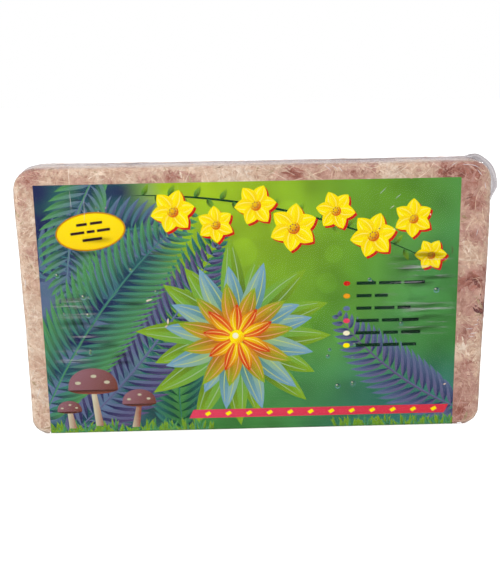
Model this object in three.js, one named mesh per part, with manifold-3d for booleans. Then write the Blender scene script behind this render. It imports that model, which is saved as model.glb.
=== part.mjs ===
// A brick of pressed sphagnum moss with a printed card on its front, shrink-wrapped in clear film.
// Millimetres, +Z up. The pack stands on its long narrow side: +X runs along it, and -Y is its front.
// The origin is the middle of the flat underside.
import * as THREE from "three";
import { mergeVertices } from "three/addons/utils/BufferGeometryUtils.js";
import Module from "manifold-3d";

const wasm = await Module();
wasm.setup();

// The pack, outside the film
const PACK_WIDTH = 200;
const PACK_DEPTH = 22;
const PACK_HEIGHT = 118.5;
const CORNER_RADIUS = { topLeft: 10.5, topRight: 8.5, bottomLeft: 7.5, bottomRight: 8.5 };

// The printed card between the brick and the film
const CARD_WIDTH = 180;
const CARD_HEIGHT = 110.5;
const CARD_THICKNESS = 0.5;
const CARD_LEFT = -91.9;
const CARD_BOTTOM = 1.1;

// Layers of the pack: inset is how far each lies in from the film's outside at its top and ends, bottom,
// front and back are its flat sides, and edge is how round it is along its two large faces
const FILM_THICKNESS = 0.35;
const FILM_DIP = 0.95;
const FRONT_DIP = 0.45;
const CLEARANCE = 0.3;
const MOSS_RISE = 1.4;
const OUTSIDE = { inset: 0, bottom: 0, front: -PACK_DEPTH / 2, back: PACK_DEPTH / 2, edge: 1.7 };
const INSIDE = {
  inset: FILM_DIP + FILM_THICKNESS,
  bottom: FILM_THICKNESS,
  front: OUTSIDE.front + FRONT_DIP + FILM_THICKNESS,
  back: OUTSIDE.back - FILM_DIP - FILM_THICKNESS,
  edge: 0.6,
};
const CARD_FRONT = INSIDE.front + CLEARANCE;
const BRICK = {
  inset: INSIDE.inset + CLEARANCE + MOSS_RISE,
  bottom: INSIDE.bottom + CLEARANCE + MOSS_RISE,
  front: CARD_FRONT + CARD_THICKNESS + CLEARANCE,
  back: INSIDE.back - CLEARANCE - MOSS_RISE,
  edge: 3,
};
const FRONT_MOSS_RISE = BRICK.front - CARD_FRONT;

// Pressed branchlets, larger than life, laid every way over the brick and leaning little on its narrow
// sides
const MOSS_SEED = 23;
const BRANCHLET_SPACING = 15.5;
const BRANCHLET_LENGTH = [25, 36];
const BRANCHLET_WIDTH = [6.4, 8.6];
const BRANCHLET_BEND = 0.045;
const LINE_STEPS = 4;
const BRANCHLET_SUNK = 0.6;
const BRANCHLET_TRIES = 8;
const SIDE_LEAN = 0.35;

// Smaller branchlets along the strips of moss round the card
const TOP_STRIP = 114.2;
const LEFT_STRIP = -95.2;
const RIGHT_STRIP = 93;
const STRIP_SPACING = 12;
const STRIP_LENGTH = [13, 20];
const STRIP_WIDTH = [3.6, 4.8];
const STRIP_LEAN = 0.7;

// The film's lumps over the moss: divisors of the waves that make them, and the level they start from
const LUMP_WIDTH = 1.63;
const LUMP_HEIGHT = 1.47;
const LUMP_DEPTH = 2.1;
const LUMP_DRIFT = 7.9;
const LUMP_START = 14;

// The trim seal at mid-depth, with its ear at the top right corner and a tuck on the right side
const SEAL_THICKNESS = 0.7;
const SEAL_HEIGHT = 0.8;
const SEAL_SUNK = 1.1;
const SEAL_FOOT = 9;
const SEAL_WAVE = 0.14;
const EAR_HEIGHT = 4.2;
const EAR_REACH = 11;
const EAR_DROP = 9;
const TUCK_HEIGHT = 0.9;
const TUCK_REACH = 5;
const TUCK_LEVEL = 67;

// Ripples over the card's right end, where the film shrank unevenly: middle x and z, length, turn
const RIPPLE_WIDTH = 3.2;
const RIPPLE_RISE = 0.5;
const RIPPLE_SUNK = 0.2;
const RIPPLES = [
  [72, 77, 30, 2],
  [75, 69, 34, -3],
  [70, 62, 32, 4],
  [76, 54, 26, -2],
  [73, 47, 24, 5],
];

// Vent holes in the film's back
const VENT_DIAMETER = 4;
const VENT_PLACES = [[-50, 84], [6, 92], [54, 82]];

function seededRandom(seed) {
  let state = seed;
  return () => {
    state = (state + 0x6d2b79f5) | 0;
    let mixed = Math.imul(state ^ (state >>> 15), 1 | state);
    mixed = (mixed + Math.imul(mixed ^ (mixed >>> 7), 61 | mixed)) ^ mixed;
    return ((mixed ^ (mixed >>> 14)) >>> 0) / 4294967296;
  };
}

function between(range, share) {
  return range[0] + (range[1] - range[0]) * share;
}

// The pack's corner radius in the quarter of its outline that holds p
function cornerRadius(p) {
  if (p.z > PACK_HEIGHT / 2) return p.x < 0 ? CORNER_RADIUS.topLeft : CORNER_RADIUS.topRight;
  return p.x < 0 ? CORNER_RADIUS.bottomLeft : CORNER_RADIUS.bottomRight;
}

function roundedCorner(overA, overB, radius) {
  return Math.min(Math.max(overA, overB), 0) + Math.hypot(Math.max(overA, 0), Math.max(overB, 0)) - radius;
}

// Distance from p to one layer of the pack, negative inside it
function layerDistance(p, layer) {
  const corner = cornerRadius(p) - layer.inset;
  const overX = Math.abs(p.x) - (PACK_WIDTH / 2 - layer.inset) + corner;
  const level = (layer.bottom + PACK_HEIGHT - layer.inset) / 2;
  const overZ = Math.abs(p.z - level) - (level - layer.bottom) + corner;
  const outline = roundedCorner(overX, overZ, corner);
  const middle = (layer.front + layer.back) / 2;
  const overY = Math.abs(p.y - middle) - (layer.back - middle) + layer.edge;
  return roundedCorner(outline + layer.edge, overY, layer.edge);
}

function layerNormal(p, layer) {
  const reach = 0.02;
  const slope = (axis) => {
    const ahead = p.clone();
    const behind = p.clone();
    ahead[axis] += reach;
    behind[axis] -= reach;
    return layerDistance(ahead, layer) - layerDistance(behind, layer);
  };
  return new THREE.Vector3(slope("x"), slope("y"), slope("z")).normalize();
}

// The point of a layer's surface that is nearest to p
function settle(p, layer) {
  const settled = p.clone();
  for (let pass = 0; pass < 3; pass++) {
    settled.addScaledVector(layerNormal(settled, layer), -layerDistance(settled, layer));
  }
  return settled;
}

function solidFrom(geometry) {
  const bare = geometry.clone();
  bare.deleteAttribute("normal");
  bare.deleteAttribute("uv");
  const merged = mergeVertices(bare, 1e-4);
  return new wasm.Manifold(
    new wasm.Mesh({
      numProp: 3,
      vertProperties: new Float32Array(merged.attributes.position.array),
      triVerts: new Uint32Array(merged.index.array),
    }),
  );
}

function geometryFrom(solid) {
  const mesh = solid.getMesh();
  const geometry = new THREE.BufferGeometry();
  geometry.setAttribute("position", new THREE.BufferAttribute(mesh.vertProperties, 3));
  geometry.setIndex(new THREE.BufferAttribute(mesh.triVerts, 1));
  geometry.computeVertexNormals();
  return geometry;
}

// Where line `cell` of a lattice crosses a side, its lines closer together in the two borders
function latticePlace(cell, half, cells, fine, border) {
  const fromEnd = Math.min(cell, cells - cell);
  const end = cell < cells / 2 ? -1 : 1;
  if (fromEnd <= fine) return end * (half - (border * fromEnd) / fine);
  return end * (half - border) * (1 - (fromEnd - fine) / (cells / 2 - fine));
}

// A layer as one closed solid: a box lattice settled on the layer's surface and moved out by `lift`
function layerSolid(layer, cells, fine, lift) {
  const border = { x: 9, y: layer.edge, z: 9 };
  const level = (layer.bottom + PACK_HEIGHT - layer.inset) / 2;
  const half = {
    x: PACK_WIDTH / 2 - layer.inset,
    y: (layer.back - layer.front) / 2,
    z: level - layer.bottom,
  };
  const geometry = new THREE.BoxGeometry(1, 1, 1, cells.x, cells.y, cells.z);
  const position = geometry.attributes.position;
  for (let i = 0; i < position.count; i++) {
    const unit = new THREE.Vector3().fromBufferAttribute(position, i);
    const p = new THREE.Vector3();
    for (const axis of ["x", "y", "z"]) {
      const cell = Math.round((unit[axis] + 0.5) * cells[axis]);
      p[axis] = latticePlace(cell, half[axis], cells[axis], fine[axis], border[axis]);
    }
    p.add(new THREE.Vector3(0, (layer.front + layer.back) / 2, level));
    const settled = settle(p, layer);
    const normal = layerNormal(settled, layer);
    position.setXYZ(i, ...settled.addScaledVector(normal, lift(settled, normal)));
  }
  return solidFrom(geometry);
}

// A line along a layer from its middle, following the layer round its edges
function lineOn(layer, middle, heading, length, bend) {
  const step = length / LINE_STEPS;
  const walk = (direction, turn) => {
    const path = [];
    const p = middle.clone();
    const along = direction.clone();
    for (let i = 0; i < LINE_STEPS / 2; i++) {
      p.copy(settle(p.addScaledVector(along, step), layer));
      const normal = layerNormal(p, layer);
      along.applyAxisAngle(normal, turn * step);
      along.addScaledVector(normal, -along.dot(normal)).normalize();
      path.push(p.clone());
    }
    return path;
  };
  const behind = walk(heading.clone().negate(), bend);
  const ahead = walk(heading, -bend);
  return [...behind.reverse(), middle.clone(), ...ahead];
}

// A three-sided spindle along a line on a layer, its two feet sunk in the layer
function spindleSolid(layer, line, width, rise, sunk) {
  const last = line.length - 1;
  const vertices = [];
  const foot = (p) => {
    const settled = settle(p, layer);
    return settled.addScaledVector(layerNormal(settled, layer), -sunk);
  };
  for (let i = 1; i < last; i++) {
    const normal = layerNormal(line[i], layer);
    const along = line[i + 1].clone().sub(line[i - 1]).normalize();
    const across = new THREE.Vector3().crossVectors(normal, along).normalize();
    const halfWidth = (width / 2) * Math.sin((Math.PI * i) / last) ** 0.5;
    vertices.push(foot(line[i].clone().addScaledVector(across, -halfWidth)));
    vertices.push(line[i].clone().addScaledVector(normal, rise(normal)));
    vertices.push(foot(line[i].clone().addScaledVector(across, halfWidth)));
  }
  const end = vertices.length;
  vertices.push(foot(line[0]), foot(line[last]));
  const faces = [];
  for (let side = 0; side < 3; side++) {
    const next = (side + 1) % 3;
    faces.push(end, side, next);
    faces.push(end + 1, end - 3 + next, end - 3 + side);
    for (let ring = 0; ring < end - 3; ring += 3) {
      faces.push(ring + side, ring + 3 + next, ring + next);
      faces.push(ring + side, ring + 3 + side, ring + 3 + next);
    }
  }
  const geometry = new THREE.BufferGeometry();
  geometry.setAttribute("position", new THREE.Float32BufferAttribute(vertices.flatMap((v) => [...v]), 3));
  geometry.setIndex(faces);
  return solidFrom(geometry);
}

function overCard(p, margin) {
  return (
    p.y < BRICK.front + 1 &&
    p.x > CARD_LEFT - margin &&
    p.x < CARD_LEFT + CARD_WIDTH + margin &&
    p.z < CARD_BOTTOM + CARD_HEIGHT + margin
  );
}

// Points spread over the pack's six sides, each shifted at random within its own square
function spreadStarts(spacing, random) {
  const half = { x: PACK_WIDTH / 2, y: PACK_DEPTH / 2, z: PACK_HEIGHT / 2 };
  const starts = [];
  for (const [across, u, v] of [["x", "z", "y"], ["y", "x", "z"], ["z", "x", "y"]]) {
    const columns = Math.round((2 * half[u]) / spacing);
    const rows = Math.max(2, Math.round((2 * half[v]) / spacing));
    for (let place = 0; place < 2 * columns * rows; place++) {
      const row = Math.floor(place / 2) % rows;
      const column = Math.floor(place / (2 * rows));
      const start = new THREE.Vector3();
      start[across] = place % 2 ? half[across] : -half[across];
      start[u] = half[u] * (2 * ((column + random()) / columns) - 1);
      start[v] = half[v] * (2 * ((row + random()) / rows) - 1);
      start.z += half.z;
      starts.push({ middle: start });
    }
  }
  return starts;
}

// Points along the strip of moss that shows above the card and beside it, with the strip's direction
function stripStarts(random) {
  const strips = [
    [new THREE.Vector3(CARD_LEFT, BRICK.front, TOP_STRIP), new THREE.Vector3(1, 0, 0), CARD_WIDTH],
    [new THREE.Vector3(LEFT_STRIP, BRICK.front, 2 * CARD_BOTTOM), new THREE.Vector3(0, 0, 1), CARD_HEIGHT],
    [new THREE.Vector3(RIGHT_STRIP, BRICK.front, 2 * CARD_BOTTOM), new THREE.Vector3(0, 0, 1), CARD_HEIGHT],
  ];
  return strips.flatMap(([corner, direction, length]) => {
    const count = Math.round(length / STRIP_SPACING);
    return Array.from({ length: count }, (_, i) => {
      const middle = corner.clone().addScaledVector(direction, (length * (i + random())) / count);
      return { middle, direction };
    });
  });
}

// One branchlet near a start, or none where it would fold sharply or run under the card
function branchlet({ middle: start, direction }, random) {
  const middle = settle(start, BRICK);
  const normal = layerNormal(middle, BRICK);
  for (let attempt = 0; attempt < BRANCHLET_TRIES; attempt++) {
    const heading = new THREE.Vector3(random() - 0.5, (random() - 0.5) * SIDE_LEAN, random() - 0.5);
    if (direction) heading.multiplyScalar(STRIP_LEAN).add(direction);
    heading.addScaledVector(normal, -heading.dot(normal)).normalize();
    const length = between(direction ? STRIP_LENGTH : BRANCHLET_LENGTH, random());
    const width = between(direction ? STRIP_WIDTH : BRANCHLET_WIDTH, random());
    const fullness = between([0.7, 1], random());
    const line = lineOn(BRICK, middle, heading, length, BRANCHLET_BEND * (2 * random() - 1));
    const facing = line.map((p) => layerNormal(p, BRICK));
    const folded = facing.some((n, i) => i > 0 && n.dot(facing[i - 1]) < 0.5);
    if (folded || line.some((p) => overCard(p, direction ? 0 : width / 2))) continue;
    const rise = (n) => fullness * (MOSS_RISE - (MOSS_RISE - FRONT_MOSS_RISE) * Math.max(0, -n.y));
    return spindleSolid(BRICK, line, width, rise, BRANCHLET_SUNK);
  }
  return null;
}

function mossBrick() {
  const random = seededRandom(MOSS_SEED);
  const starts = [...spreadStarts(BRANCHLET_SPACING, random), ...stripStarts(random)];
  const branchlets = starts.map((start) => branchlet(start, random));
  const laid = branchlets.filter((solid) => solid !== null);
  const body = layerSolid(BRICK, { x: 9, y: 5, z: 9 }, { x: 4, y: 2, z: 4 }, () => 0);
  return laid.reduce((brick, solid) => brick.add(solid), body);
}

function cardGeometry() {
  const geometry = new THREE.BoxGeometry(CARD_WIDTH, CARD_THICKNESS, CARD_HEIGHT);
  const middle = [CARD_LEFT + CARD_WIDTH / 2, CARD_FRONT + CARD_THICKNESS / 2, CARD_BOTTOM + CARD_HEIGHT / 2];
  return geometry.translate(...middle);
}

// How deep the film dips between the moss's high points: it lies flat over the card and on its base
function filmDip(p, normal) {
  if (overCard(p, 0) && normal.y < -0.9) return -FRONT_DIP;
  const depth = FILM_DIP - (FILM_DIP - FRONT_DIP) * Math.max(0, -normal.y);
  const across = Math.sin(p.x / LUMP_WIDTH + 1.7 * Math.sin(p.z / LUMP_DRIFT));
  const upward = Math.sin(p.z / LUMP_HEIGHT + p.y / LUMP_DEPTH + 1.3 * Math.sin(p.x / LUMP_DRIFT));
  const aboveBase = THREE.MathUtils.smoothstep(p.z, OUTSIDE.edge, LUMP_START);
  return -depth * aboveBase * (0.5 + 0.5 * across * upward);
}

// The seal's height at a point of the pack's outline: it starts above the foot, swells to the ear at the
// top right corner and to the tuck below it
function sealHeight(x, z) {
  const toEar = Math.hypot(x - PACK_WIDTH / 2, z - PACK_HEIGHT + EAR_DROP) / EAR_REACH;
  const toTuck = x > 0 ? (z - TUCK_LEVEL) / TUCK_REACH : Infinity;
  const wave = SEAL_WAVE * Math.sin(x / 2.7 + z / 2.1);
  const swell = EAR_HEIGHT * Math.exp(-2 * toEar ** 2) + TUCK_HEIGHT * Math.exp(-(toTuck ** 2));
  return (SEAL_HEIGHT + wave + swell) * THREE.MathUtils.smoothstep(z, SEAL_FOOT, 2 * SEAL_FOOT);
}

// The pack's outline at mid-depth from the left foot over the top to the right foot
function sealLine() {
  const halfWidth = PACK_WIDTH / 2;
  const { topLeft, topRight } = CORNER_RADIUS;
  const path = new THREE.CurvePath();
  const corner = (x, z, radius, from, to) => {
    const start = THREE.MathUtils.degToRad(from);
    const end = THREE.MathUtils.degToRad(to);
    return new THREE.EllipseCurve(x, z, radius, radius, start, end, true);
  };
  path.add(new THREE.LineCurve(
    new THREE.Vector2(-halfWidth, SEAL_FOOT),
    new THREE.Vector2(-halfWidth, PACK_HEIGHT - topLeft),
  ));
  path.add(corner(-halfWidth + topLeft, PACK_HEIGHT - topLeft, topLeft, 180, 90));
  path.add(new THREE.LineCurve(
    new THREE.Vector2(-halfWidth + topLeft, PACK_HEIGHT),
    new THREE.Vector2(halfWidth - topRight, PACK_HEIGHT),
  ));
  path.add(corner(halfWidth - topRight, PACK_HEIGHT - topRight, topRight, 90, 0));
  path.add(new THREE.LineCurve(
    new THREE.Vector2(halfWidth, PACK_HEIGHT - topRight),
    new THREE.Vector2(halfWidth, SEAL_FOOT),
  ));
  const steps = [9, 7, 22, 9, 22];
  return path.curves.flatMap((curve, i) => curve.getPoints(steps[i]).slice(i === 0 ? 0 : 1));
}

// The trim seal: a thin upright band along that outline, which rises out of the film above its two feet
function sealSolid() {
  const offset = (place, height) => {
    const p = new THREE.Vector3(place.x, 0, place.y);
    const normal = layerNormal(p, OUTSIDE);
    return new THREE.Vector2(p.x + normal.x * height, p.z + normal.z * height);
  };
  const line = sealLine();
  const outer = line.map((place) => offset(place, sealHeight(place.x, place.y) - SEAL_SUNK / 2));
  const inner = line.map((place) => offset(place, -SEAL_SUNK));
  const band = new THREE.Shape([...outer, ...inner.reverse()]);
  const geometry = new THREE.ExtrudeGeometry(band, { depth: SEAL_THICKNESS, bevelEnabled: false });
  geometry.rotateX(Math.PI / 2);
  geometry.translate(0, SEAL_THICKNESS / 2, 0);
  return solidFrom(geometry);
}

function rippleSolid(x, z, length, turn) {
  const overIt = { ...OUTSIDE, front: OUTSIDE.front + FRONT_DIP };
  const middle = settle(new THREE.Vector3(x, OUTSIDE.front, z), overIt);
  const angle = THREE.MathUtils.degToRad(turn);
  const heading = new THREE.Vector3(Math.cos(angle), 0, Math.sin(angle));
  const line = lineOn(overIt, middle, heading, length, 0);
  return spindleSolid(overIt, line, RIPPLE_WIDTH, () => RIPPLE_RISE, RIPPLE_SUNK);
}

function ventCut(x, z) {
  const length = 3 * (OUTSIDE.back - INSIDE.back);
  const cut = new THREE.CylinderGeometry(VENT_DIAMETER / 2, VENT_DIAMETER / 2, length, 16);
  return solidFrom(cut.translate(x, INSIDE.back + length / 4, z));
}

function filmWrap() {
  const skin = layerSolid(OUTSIDE, { x: 30, y: 7, z: 21 }, { x: 5, y: 2, z: 5 }, filmDip);
  const hollow = layerSolid(INSIDE, { x: 9, y: 5, z: 9 }, { x: 4, y: 2, z: 4 }, () => 0);
  const raised = RIPPLES.reduce((film, ripple) => film.add(rippleSolid(...ripple)), skin);
  const shell = raised.add(sealSolid()).subtract(hollow);
  return VENT_PLACES.reduce((film, [x, z]) => film.subtract(ventCut(x, z)), shell);
}

function piece(name, geometry, finish) {
  const mesh = new THREE.Mesh(geometry, new THREE.MeshStandardMaterial({ metalness: 0, ...finish }));
  mesh.name = name;
  return mesh;
}

const group = new THREE.Group();
group.add(piece("moss_brick", geometryFrom(mossBrick()), { color: 0xc9a48a, roughness: 0.95 }));
group.add(piece("label_card", cardGeometry(), { color: 0x5f9a4a, roughness: 0.45 }));
group.add(
  piece("film_wrap", geometryFrom(filmWrap()), {
    color: 0xf4f2f5,
    roughness: 0.12,
    transparent: true,
    opacity: 0.22,
  }),
);

export default group;
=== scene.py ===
"""A brick of pressed sphagnum moss with a printed card on its front, shrink-wrapped in clear film.

Sizes are millimetres until a piece's mesh is written, and the pack stands as its frame does: +X along
it, -Y its front, +Z up, with the origin in the middle of its flat underside.
"""

import itertools
from math import cos, pi, radians, sin, tau

import bmesh
import bpy
import numpy as np
from mathutils import Matrix, Vector
from mathutils.bvhtree import BVHTree
from mathutils.geometry import delaunay_2d_cdt
from mathutils.kdtree import KDTree


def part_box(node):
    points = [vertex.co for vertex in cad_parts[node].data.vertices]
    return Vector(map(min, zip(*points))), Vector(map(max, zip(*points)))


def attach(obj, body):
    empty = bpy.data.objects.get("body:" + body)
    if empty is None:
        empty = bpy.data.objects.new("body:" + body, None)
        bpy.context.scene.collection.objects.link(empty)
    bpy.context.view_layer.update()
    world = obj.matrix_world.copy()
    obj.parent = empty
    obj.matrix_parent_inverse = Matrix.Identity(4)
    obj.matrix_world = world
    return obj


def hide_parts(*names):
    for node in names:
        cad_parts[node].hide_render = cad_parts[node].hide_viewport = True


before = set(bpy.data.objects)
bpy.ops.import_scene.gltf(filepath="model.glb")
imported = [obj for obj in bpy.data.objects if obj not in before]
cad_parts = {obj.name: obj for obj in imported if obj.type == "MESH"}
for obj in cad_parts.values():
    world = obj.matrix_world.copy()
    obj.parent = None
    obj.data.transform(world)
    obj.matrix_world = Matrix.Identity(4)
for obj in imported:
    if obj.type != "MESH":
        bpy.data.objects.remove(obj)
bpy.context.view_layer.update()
MM = 0.001

# The pack, outside its film
PACK_WIDTH, PACK_DEPTH, PACK_HEIGHT = 200, 22, 118.5
CORNER_TOP_LEFT, CORNER_TOP_RIGHT = 9.2, 8.5
CORNER_BOTTOM_LEFT, CORNER_BOTTOM_RIGHT = 7.0, 7.4

# The printed card, where its solid lies, with its foot half a millimetre nearer to the brick's edge
CARD_LOW, CARD_HIGH = (np.array(corner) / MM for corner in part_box("label_card"))
CARD_LOW[2] -= 0.5
CARD_WIDTH, CARD_THICKNESS, CARD_HEIGHT = CARD_HIGH - CARD_LOW


# ---------------------------------------------------------------- shared shapes


class Slab:
    """A block with round corners and round edges, known by its distance to any point."""

    def __init__(self, inset, bottom, front, back, edge):
        self.inset, self.bottom, self.edge = inset, bottom, edge
        self.middle, self.half_depth = (front + back) / 2, (back - front) / 2
        self.level = (bottom + PACK_HEIGHT - inset) / 2
        self.half = np.array([PACK_WIDTH / 2 - inset, self.half_depth, self.level - bottom])
        self.centre = np.array([0, self.middle, self.level])

    @staticmethod
    def rounded(over_a, over_b, radius):
        outside = np.hypot(np.maximum(over_a, 0), np.maximum(over_b, 0))
        return np.minimum(np.maximum(over_a, over_b), 0) + outside - radius

    def distance(self, p):
        x, y, z = p.T
        upper = np.where(x < 0, CORNER_TOP_LEFT, CORNER_TOP_RIGHT)
        lower = np.where(x < 0, CORNER_BOTTOM_LEFT, CORNER_BOTTOM_RIGHT)
        corner = np.where(z > PACK_HEIGHT / 2, upper, lower) - self.inset
        over_x = np.abs(x) - self.half[0] + corner
        over_z = np.abs(z - self.level) - self.half[2] + corner
        outline = self.rounded(over_x, over_z, corner)
        over_y = np.abs(y - self.middle) - self.half_depth + self.edge
        return self.rounded(outline + self.edge, over_y, self.edge)

    def normal(self, p):
        reach = 0.02 * np.eye(3)
        slope = np.stack([self.distance(p + r) - self.distance(p - r) for r in reach], axis=1)
        return slope / np.linalg.norm(slope, axis=1, keepdims=True)

    def settle(self, p):
        for _ in range(3):
            p = p - self.normal(p) * self.distance(p)[:, None]
        return p


OUTSIDE = Slab(inset=0, bottom=0, front=-PACK_DEPTH / 2, back=PACK_DEPTH / 2, edge=1.9)
MOSS = Slab(inset=0.15, bottom=0.5, front=-9.82, back=10.42, edge=2.3)


def soft_noise(p, cell, seed):
    """Smooth random values from -1 to 1 at the points p, changing over `cell` millimetres."""
    cells = 48
    lattice = np.random.default_rng(seed).uniform(-1, 1, (cells, cells, cells))
    place = p / cell + cells / 2
    whole = np.floor(place).astype(int)
    part = smoothstep(place - whole, 0, 1)
    total = np.zeros(len(p))
    for corner in itertools.product((0, 1), repeat=3):
        share = np.prod(np.where(np.array(corner), part, 1 - part), axis=1)
        total += share * lattice[tuple(((whole + corner) % cells).T)]
    return total


def unit(vectors):
    return vectors / np.maximum(np.linalg.norm(vectors, axis=-1, keepdims=True), 1e-9)


def laid_flat(direction, normal):
    """Directions turned into the surface that has those normals."""
    return unit(direction - normal * np.sum(direction * normal, axis=1, keepdims=True))


def points_on(slab, count, shares, random):
    """Random points on a slab's sides, with a share of them for each side's axis and sign."""
    p = random.uniform(-1, 1, (count, 3)) * slab.half + slab.centre
    pick = random.choice(len(shares), count, p=list(shares.values()))
    for i, (axis, sign) in enumerate(shares):
        p[pick == i, axis] = slab.centre[axis] + sign * slab.half[axis]
    return p


def smoothstep(value, start, end):
    share = np.clip((value - start) / (end - start), 0, 1)
    return share * share * (3 - 2 * share)


def hump(off, width):
    """A smooth hump, 1 in the middle, that has almost died away at twice its width."""
    return np.exp(-((off / width) ** 2))


def compass(angle):
    """Unit directions in a plane at those angles."""
    return np.stack([np.cos(angle), np.sin(angle)], axis=-1)


# The studio's light adds up to more than white, so a surface sends back this much of its colour
TONE_SHARE = 0.72


def tone(red, green, blue):
    """A colour as it looks on a screen, 0 to 255, as shares of the light sent back."""
    share = np.array([red, green, blue]) / 255
    return TONE_SHARE * np.where(share <= 0.04045, share / 12.92, ((share + 0.055) / 1.055) ** 2.4)


def blend_colors(value, stops):
    """The colours at each value along a row of (value, colour) stops."""
    places = [place for place, _ in stops]
    return np.stack([np.interp(value, places, [color[i] for _, color in stops]) for i in range(3)], axis=1)


def block_lattice(slab, cells):
    """A cube cut into cells and laid on a slab's surface."""
    bm = bmesh.new()
    bmesh.ops.create_cube(bm, size=2)
    for axis, count in enumerate(cells):
        along = [e for e in bm.edges if abs(e.verts[0].co[axis] - e.verts[1].co[axis]) > 1e-4]
        bmesh.ops.subdivide_edges(bm, edges=along, cuts=count - 1, use_grid_fill=True)
    p = slab.settle(np.array([v.co for v in bm.verts]) * slab.half + slab.centre)
    return bm, p


def move_vertices(bm, p):
    for vertex, place in zip(bm.verts, p):
        vertex.co = place


def add_swept(bm, rings, loop=False):
    """Adds a closed tube through rings of points: a grid rolled up, with its ends capped or joined."""
    stations, corners = rings.shape[:2]
    steps = stations if loop else stations - 1
    vertices = bmesh.ops.create_grid(bm, x_segments=steps, y_segments=corners, size=1)["verts"]
    for vertex in vertices:
        station = round((vertex.co.x + 1) / 2 * steps) % stations
        corner = round((vertex.co.y + 1) / 2 * corners) % corners
        vertex.co = rings[station, corner]
    bmesh.ops.remove_doubles(bm, verts=vertices, dist=1e-5)
    vertices = [v for v in vertices if v.is_valid]
    faces = {f for v in vertices for f in v.link_faces}
    if not loop:
        ends = {e for v in vertices for e in v.link_edges if e.is_boundary}
        faces.update(bmesh.ops.holes_fill(bm, edges=list(ends))["faces"])
    bmesh.ops.recalc_face_normals(bm, faces=list(faces))
    return vertices


def oval_rings(line, across, up, corners):
    """Rings of points round a line: ovals with those vectors as half their width and height."""
    t = np.linspace(0, tau, corners, endpoint=False)[:, None]
    return line[:, None] + np.cos(t) * across[:, None] + np.sin(t) * up[:, None]


def mark_vertices(bm, name, shares):
    """Notes a share at each vertex for the film's material to read."""
    layer = bm.verts.layers.float.new(name)
    for vertex, share in zip(bm.verts, shares):
        vertex[layer] = share


def add_object(name, data):
    added = bpy.data.objects.new(name, data)
    bpy.context.scene.collection.objects.link(added)
    return added


def finished_mesh(name, bm, material):
    mesh = bpy.data.meshes.new(name)
    bm.to_mesh(mesh)
    bm.free()
    mesh.materials.append(material)
    return mesh


def add_piece(mesh):
    """A piece of the pack from its mesh in millimetres."""
    mesh.transform(Matrix.Scale(MM, 4))
    mesh.polygons.foreach_set("use_smooth", [True] * len(mesh.polygons))
    piece = add_object(mesh.name, mesh)
    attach(piece, "root")
    return piece


# ---------------------------------------------------------------- materials

CREAM = tone(238, 222, 204)
STRAW = tone(229, 205, 183)
TAN = tone(217, 187, 163)
PINK_TAN = tone(202, 163, 146)
ROSY_BROWN = tone(186, 141, 128)
RUSSET = tone(171, 114, 99)
DARK_RUSSET = tone(146, 90, 80)
OLIVE = tone(180, 158, 126)
PURPLE_BROWN = tone(78, 50, 60)
DARK = tone(96, 68, 58)


def new_material(name, base_color=(0.8, 0.8, 0.8), roughness=0.5):
    material = bpy.data.materials.new(name)
    material.use_nodes = True
    shader = material.node_tree.nodes["Principled BSDF"]
    shader.inputs["Base Color"].default_value = (*base_color, 1)
    shader.inputs["Roughness"].default_value = roughness
    return material, material.node_tree, shader


def add_node(tree, kind, inputs=None, **settings):
    """A shader node whose inputs are given as numbers, as colours or as other nodes' outputs."""
    node = tree.nodes.new("ShaderNode" + kind)
    for setting, value in settings.items():
        setattr(node, setting, value)
    for name, value in (inputs or {}).items():
        if isinstance(value, bpy.types.NodeSocket):
            tree.links.new(value, node.inputs[name])
        else:
            node.inputs[name].default_value = value
    return node


def math_node(tree, operation, *values, held=False):
    """A sum on numbers and outputs, held between 0 and 1 where that is asked."""
    return add_node(tree, "Math", dict(enumerate(values)), operation=operation, use_clamp=held).outputs[0]


def attribute(tree, name, output="Fac"):
    return add_node(tree, "Attribute", attribute_name=name).outputs[output]


def noise_node(tree, scale, detail=2.0, roughness=0.5, stretch=(1, 1, 1)):
    """Noise on the piece's own coordinates, with `scale` patches to the metre."""
    place = add_node(tree, "TexCoord").outputs["Object"]
    place = add_node(tree, "Mapping", {"Vector": place, "Scale": stretch}).outputs["Vector"]
    settings = {"Vector": place, "Scale": scale, "Detail": detail, "Roughness": roughness}
    return add_node(tree, "TexNoise", settings).outputs["Fac"]


def dress(tree, shader, color, gloss, relief, depth, strength=1.0):
    """Gives a matt shader its colour, its little gloss and its finest relief."""
    tree.links.new(color, shader.inputs["Base Color"])
    shader.inputs["Specular IOR Level"].default_value = gloss
    bump = add_node(tree, "Bump", {"Height": relief, "Distance": depth, "Strength": strength})
    tree.links.new(bump.outputs["Normal"], shader.inputs["Normal"])


def multiply_color(tree, color, factor):
    inputs = {"Factor": 1, "A": color, "B": factor}
    return add_node(tree, "Mix", inputs, data_type="RGBA", blend_type="MULTIPLY").outputs["Result"]


def color_ramp(tree, factor, *stops):
    ramp = add_node(tree, "ValToRGB", {"Fac": factor})
    elements = ramp.color_ramp.elements
    while len(elements) < len(stops):
        elements.new(0.5)
    for element, (position, color) in zip(elements, stops):
        element.position = position
        element.color = (*color, 1)
    return ramp.outputs["Color"]


LEAVES_PER_MM = 1.25


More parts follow.
